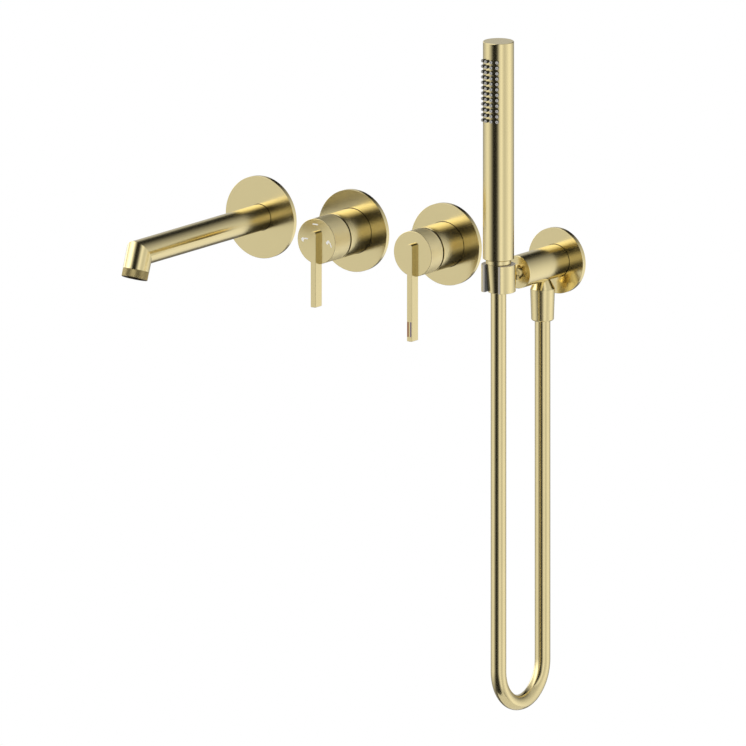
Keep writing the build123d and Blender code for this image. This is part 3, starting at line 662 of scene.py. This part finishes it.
def hose_path():
    """Points read from the route's smooth line."""
    route = hose_route()
    line = bpy.data.curves.new("hose_line", "CURVE")
    line.dimensions = "3D"
    line.resolution_u = HOSE_STEPS
    spline = line.splines.new("NURBS")
    spline.points.add(len(route) - 1)
    for point, (out, z) in zip(spline.points, route):
        point.co = (*at(OUTLET_X, out, z), 1)
    spline.order_u = 3
    spline.use_endpoint_u = True
    guide = bpy.data.objects.new("hose_line", line)
    bpy.context.scene.collection.objects.link(guide)
    bpy.context.view_layer.update()
    traced = bpy.data.meshes.new_from_object(guide)
    path = [v.co.copy() for v in traced.vertices]
    bpy.data.meshes.remove(traced)
    bpy.data.objects.remove(guide)
    bpy.data.curves.remove(line)
    return path


def hose():
    """A plain tube round the line, whose front length follows the hand shower's cone."""
    path = hose_path()
    last = len(path) - 1
    points = []
    for i, here in enumerate(path):
        ahead = (path[min(i + 1, last)] - path[max(i - 1, 0)]).normalized()
        across = ahead.cross(RIGHT).normalized()
        for k in range(HOSE_SIDES):
            turn = 2 * pi * k / HOSE_SIDES
            points.append(here + (RIGHT * cos(turn) + across * sin(turn)) * HOSE_D / 2 * MM)
    faces = []
    for i in range(last):
        a = i * HOSE_SIDES
        b = a + HOSE_SIDES
        for k in range(HOSE_SIDES):
            m = (k + 1) % HOSE_SIDES
            faces.append((a + k, b + k, b + m, a + m))
    faces.append(tuple(range(HOSE_SIDES)))
    faces.append(tuple(reversed(range(last * HOSE_SIDES, (last + 1) * HOSE_SIDES))))
    piece = new_mesh("shower_hose", points, faces)
    shade(piece, SHARP_ROUND)
    finish(piece, "hose_gold")
    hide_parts("hose")
    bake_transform(piece)


# Knobs

def knob_cup(face):
    """A turned cup with a hub, from the bottom of the hub's bore to the middle of the front."""
    floor_out = face - LEVER_EMBED - KNOB_FLOOR
    inner_r = KNOB_R - KNOB_WALL
    rim_back = face - KNOB_RIM_DROP
    lathe = Lathe(2 * KNOB_TEETH)
    lathe.tip(KNOB_HUB_FLOOR)
    lathe.ring(KNOB_HUB_BORE_R, KNOB_HUB_FLOOR)
    lathe.ring(KNOB_HUB_BORE_R, KNOB_HUB_BACK)
    lathe.ring(KNOB_HUB_R, KNOB_HUB_BACK)
    lathe.ring(KNOB_HUB_R, floor_out)
    lathe.ring(inner_r, floor_out)
    lathe.ring(inner_r, KNOB_BACK)
    lathe.ring(KNOB_R - KNOB_EDGE - KNOB_TOOTH_DEPTH, KNOB_BACK)
    lathe.toothed(KNOB_R, KNOB_TOOTH_DEPTH, KNOB_BACK + KNOB_EDGE, rim_back - KNOB_EDGE)
    lathe.ring(KNOB_R, rim_back)
    lathe.ring(KNOB_R - KNOB_RIM, face)
    lathe.tip(face)
    return lathe


def knob(name, x, face):
    """The cup, with the lever's slot in its front and a hole for the grub screw's key below."""
    middle = at(x, 0, 0)
    place = axis_frame(middle, OUT, RIGHT)
    piece = knob_cup(face).piece(f"{name}_knurled_knob", place)
    half = LEVER_W / 2 + LEVER_CLEARANCE
    below = -KNOB_R - KNOB_WALL
    slot_outline = [(-half, below), (half, below)] + arc((0, LEVER_TOP - LEVER_W / 2), half, 0, pi)
    back = face - LEVER_EMBED - LEVER_CLEARANCE
    slot = plate("slot", slot_outline, place, face + LEVER_D, back)
    grub_place = axis_frame(at(x, GRUB_OUT, -KNOB_R), UP, RIGHT)
    grub_outline = arc((0, 0), GRUB_ACCESS_R, 0, 2 * pi)[:-1]
    access = plate("access", grub_outline, grub_place, 2 * KNOB_WALL, -2 * KNOB_WALL)
    cut(piece, [slot, access])
    shade(piece, SHARP_KNURL)
    finish(piece, "satin_gold")
    # The knurled band's finish has the lighter gold, which is painted light
    piece.data.materials.append(finishes["knurled_gold"])
    band_r = (KNOB_R - 2 * KNOB_TOOTH_DEPTH) * MM
    for polygon in piece.data.polygons:
        polygon.use_smooth = abs(polygon.normal.y) < KNOB_FLAT
        from_axis = ((polygon.center - middle) * IN_WALL_PLANE).length
        on_band = polygon.use_smooth and from_axis > band_r
        polygon.material_index = 1 if on_band else 0
    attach(piece, f"{name}_handle")
    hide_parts(f"{name}_knob")


# Levers

def lever(name, x, face, end):
    """A flat bar with a round top end, let into the knob's face."""
    half = LEVER_W / 2
    low = LEVER_CORNER - end
    outline = arc((LEVER_CORNER - half, low), LEVER_CORNER, pi, 1.5 * pi)
    outline += arc((half - LEVER_CORNER, low), LEVER_CORNER, 1.5 * pi, 2 * pi)
    outline += arc((0, LEVER_TOP - half), half, 0, pi)
    back = face - LEVER_EMBED
    place = axis_frame(at(x, 0, 0), OUT, RIGHT)
    piece = plate(f"{name}_bar_lever", outline, place, back + LEVER_D, back)
    round_edges(piece, LEVER_EDGE)
    shade(piece, SHARP_EDGE)
    finish(piece, "satin_gold")
    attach(piece, f"{name}_handle")
    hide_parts(f"{name}_lever")


# Aerator ring

def aerator_ring():
    """A skirt inside the nozzle, a knurled band below it, and a lip round the mouth."""
    lathe = Lathe(2 * RING_TEETH)
    lip = RING_END - RING_LIP_H
    rim_r = RING_R - RING_TOOTH_DEPTH
    lathe.ring(RING_BORE_R, RING_SKIRT_TOP)
    lathe.ring(RING_SKIRT_R, RING_SKIRT_TOP)
    lathe.ring(RING_SKIRT_R, RING_TOP)
    lathe.ring(rim_r, RING_TOP)
    lathe.toothed(RING_R, RING_TOOTH_DEPTH, RING_TOP + RING_RIM, RING_END - RING_RIM)
    lathe.ring(rim_r, RING_END - RING_EDGE / 2)
    lathe.ring(rim_r - RING_EDGE / 2, RING_END)
    lathe.ring(RING_MOUTH_R, RING_END)
    lathe.ring(RING_LIP_R, lip + RING_LIP_LAND)
    lathe.ring(RING_LIP_R, lip)
    lathe.ring(RING_BORE_R, lip)
    lathe.close()
    piece = lathe.piece("knurled_aerator_ring", axis_frame(at(0, MITRE_OUT, 0), NOZZLE_AIM, RIGHT))
    shade(piece, SHARP_EDGE)
    finish(piece, "ring_gold")
    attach(piece, "root")
    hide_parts("aerator_ring")


# Hand shower's tube

def shower_tube():
    """The tube of the solid, whose lower end is square to the neck where the solid has a short taper."""
    solid = nodes["handset_body"].data
    normals = [corner.vector.copy() for corner in solid.corner_normals]
    mesh = solid.copy()
    mesh.name = "shower_tube"
    axis = at(OUTLET_X, CLIP_OUT, 0)
    mid_r = (NECK_R + TUBE_R) / 2 * MM
    low = (NECK_TOP - MESH_NEAR) * MM
    high = (TUBE_END + MESH_NEAR) * MM
    # The taper's lower ring goes up to the tube's end, and the faces of that step look straight down
    inner = set()
    for vertex in mesh.vertices:
        from_axis = ((vertex.co - axis) * IN_LEVEL_PLANE).length
        at_neck_top = abs(vertex.co.z - NECK_TOP * MM) < MESH_NEAR * MM
        if at_neck_top and from_axis < mid_r:
            inner.add(vertex.index)
    for polygon in mesh.polygons:
        heights = [mesh.vertices[i].co.z for i in polygon.vertices]
        if low < min(heights) and max(heights) < high:
            for corner in polygon.loop_indices:
                normals[corner] = -UP
    for index in inner:
        mesh.vertices[index].co.z = (TUBE_END - STEP_FALL) * MM
    mesh.normals_split_custom_set(normals)
    piece = bpy.data.objects.new("shower_tube", mesh)
    bpy.context.scene.collection.objects.link(piece)
    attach(piece, "handset")
    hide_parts("handset_body")


# Spray nubs

def nub():
    """A soft cone with a rounded tip and its water hole."""
    lathe = Lathe(NUB_SIDES)
    lathe.tip(NUB_ROOT)
    lathe.ring(NUB_BASE_R, NUB_ROOT)
    lathe.ring(NUB_TIP_R, NUB_TIP - NUB_ROUND)
    for lean in NUB_ROUND_STEPS:
        lathe.ring(NUB_TIP_R - NUB_ROUND * (1 - cos(lean)), NUB_TIP - NUB_ROUND * (1 - sin(lean)))
    lathe.ring(NUB_HOLE_R, NUB_TIP)
    lathe.ring(NUB_HOLE_R, NUB_TIP - NUB_HOLE_DEPTH)
    lathe.tip(NUB_TIP - NUB_HOLE_DEPTH)
    return lathe


def spray_nubs():
    """Columns of nubs that all point away from the tube's axis."""
    one = nub()
    points = []
    faces = []
    for angle in NUB_ANGLES:
        turn = radians(angle)
        aim = (sin(turn), -cos(turn), 0)
        for row in range(NUB_ROWS):
            place = axis_frame(at(OUTLET_X, CLIP_OUT, NUB_TOP - row * NUB_PITCH), aim, UP)
            first = len(points)
            points += [place @ p for p in one.points]
            faces += [tuple(first + i for i in face) for face in one.faces]
    piece = new_mesh("spray_nubs", points, faces)
    shade(piece, SHARP_ROUND)
    finish(piece, "silicone")
    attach(piece, "handset")
    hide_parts("nozzle_strip")


# Marks

def mixer_marks():
    front = MIXER_FACE - LEVER_EMBED + LEVER_D
    low = -MIXER_LEVER_END + MARK_LIFT
    high = low + MARK_H
    place = axis_frame(at(MIXER_X, front, 0), OUT, RIGHT)
    for name, (left, right) in MARK_SIDES.items():
        outline = [(left, low), (right, low), (right, high), (left, high)]
        piece = plate(f"mixer_mark_{name}", outline, place, MARK_PROUD, -MARK_SUNK)
        finish(piece, f"print_{name}")
        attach(piece, "mixer_handle")


def diverter_marks():
    place = axis_frame(at(DIVERTER_X, DIVERTER_FACE, 0), OUT, RIGHT)
    for name, outline in BATH_MARKS.items():
        piece = plate(f"diverter_mark_{name}", outline, place, MARK_PROUD, -MARK_SUNK)
        finish(piece, "print_white")
        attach(piece, "diverter_handle")


# Floor, light and camera

def floor():
    """A pale floor that ends in front and at the left, where the hose's bend mirrors the dark."""
    left, right = FLOOR_X
    front, back = FLOOR_Y
    corners = [(left, front), (right, front), (right, back), (left, back)]
    piece = new_mesh("floor", [(x, y, FLOOR_Z) for x, y in corners], [(0, 1, 2, 3)])
    shader = Shader("floor_pale")
    shader.tint(shader.noise(FLOOR_CLOUDS, detail=3.0), FLOOR_DARK, FLOOR_LIGHT)
    shader.roughness(shader.noise(FLOOR_GLOSS), *FLOOR_ROUGH)
    piece.data.materials.append(shader.material)


def round_level(world, azimuth):
    """The studio's brightness at an azimuth, from a ramp that runs once all round."""
    turn = world.calculate("MULTIPLY_ADD", azimuth, 1 / (2 * pi), 0.5)
    ramp = world.add("ShaderNodeValToRGB", turn)
    ramp.color_ramp.interpolation = "CARDINAL"
    stops = ramp.color_ramp.elements
    while len(stops) < len(STUDIO):
        stops.new(0.5)
    for stop, (degrees, level) in zip(stops, STUDIO):
        stop.position = degrees / 360 + 0.5
        share = level / BRIGHTEST
        stop.color = (share, share, share, 1)
    return world.calculate("MULTIPLY", ramp.outputs["Color"], BRIGHTEST)


def panel_level(world):
    """The studio's brightness in the direction that a ray looks."""
    looking = world.add("ShaderNodeTexCoord").outputs["Generated"]
    axes = world.add("ShaderNodeSeparateXYZ", looking)
    outward = world.calculate("MULTIPLY", axes.outputs["Y"], -1.0)
    azimuth = world.calculate("ARCTAN2", axes.outputs["X"], outward)
    elevation = world.calculate("ARCSINE", axes.outputs["Z"])
    at_right = world.calculate("GREATER_THAN", azimuth, GAP_MID)

    def by_elevation(stretch):
        return world.spread(elevation, *stretch)

    def angle_from(direction):
        along = world.measure("DOT_PRODUCT", looking, direction.normalized())
        return world.calculate("ARCCOSINE", along)

    left_lean = world.calculate("ADD", by_elevation(LEFT_LEAN_LOW), by_elevation(LEFT_LEAN_HIGH))
    right_lean = world.spread(world.calculate("ABSOLUTE", elevation), *RIGHT_LEAN)
    lean = world.spread(at_right, 0.0, 1.0, left_lean, right_lean)
    panel = round_level(world, world.calculate("SUBTRACT", azimuth, lean))
    lit = world.spread(angle_from(SHADED_CORNER), SHADED_FROM, SHADED_TO, 0.0, 1.0)
    left_gain = world.calculate("MULTIPLY", by_elevation(LEFT_GAIN), by_elevation(LEFT_LOW))
    gain = world.spread(at_right, 0.0, 1.0, left_gain, 1.0)
    level = world.calculate("MULTIPLY", world.calculate("MULTIPLY", panel, lit), gain)
    for direction, edge, full, brightness in SIDE_PANELS:
        angle = angle_from(direction)
        side = world.spread(angle, edge, full, 0.0, brightness, interpolation_type="SMOOTHSTEP")
        level = world.calculate("MAXIMUM", level, side)
    return world.calculate("MULTIPLY", level, by_elevation(LOW_SHADE))


def studio():
    """Camera rays see plain white. Metal sees the panels of the studio, and the rest is lit evenly."""
    bpy.context.scene.world = bpy.data.worlds.new("studio")
    world = Nodes(bpy.context.scene.world)
    panels = world.first("BACKGROUND")
    panels.inputs["Color"].default_value = WHITE
    world.link(panel_level(world), panels.inputs["Strength"])
    white = world.add("ShaderNodeBackground", WHITE, 1.0)
    even = world.add("ShaderNodeBackground", WHITE, EVEN_LIGHT)
    rays = world.add("ShaderNodeLightPath").outputs
    mirrored = world.calculate("MAXIMUM", rays["Is Glossy Ray"], rays["Is Transmission Ray"])
    seen = world.add("ShaderNodeMixShader", mirrored, even.outputs[0], panels.outputs[0])
    whole = world.add("ShaderNodeMixShader", rays["Is Camera Ray"], seen.outputs[0], white.outputs[0])
    world.link(whole.outputs[0], world.first("OUTPUT_WORLD").inputs["Surface"])


def camera():
    """The photograph's view, given by its own directions to the right, up and back."""
    a, e = VIEW_AZIMUTH, VIEW_ELEVATION
    right = Vector((cos(a), sin(a), 0))
    up = Vector((-sin(a) * sin(e), cos(a) * sin(e), cos(e)))
    back = Vector((sin(a) * cos(e), -cos(a) * cos(e), sin(e)))
    data = bpy.data.cameras.new("camera")
    data.type = "ORTHO"
    data.ortho_scale = VIEW_WIDTH
    piece = bpy.data.objects.new("camera", data)
    place = right * VIEW_MID_RIGHT + up * VIEW_MID_UP + back * CAMERA_DISTANCE
    piece.matrix_world = Matrix.Translation(place) @ Matrix((right, up, back)).transposed().to_4x4()
    bpy.context.scene.collection.objects.link(piece)
    bpy.context.scene.camera = piece


hose()
knob("diverter", DIVERTER_X, DIVERTER_FACE)
knob("mixer", MIXER_X, MIXER_FACE)
lever("diverter", DIVERTER_X, DIVERTER_FACE, DIVERTER_LEVER_END)
lever("mixer", MIXER_X, MIXER_FACE, MIXER_LEVER_END)
aerator_ring()
shower_tube()
spray_nubs()
mixer_marks()
diverter_marks()
floor()
studio()
camera()
bpy.context.scene.view_settings.view_transform = "Standard"
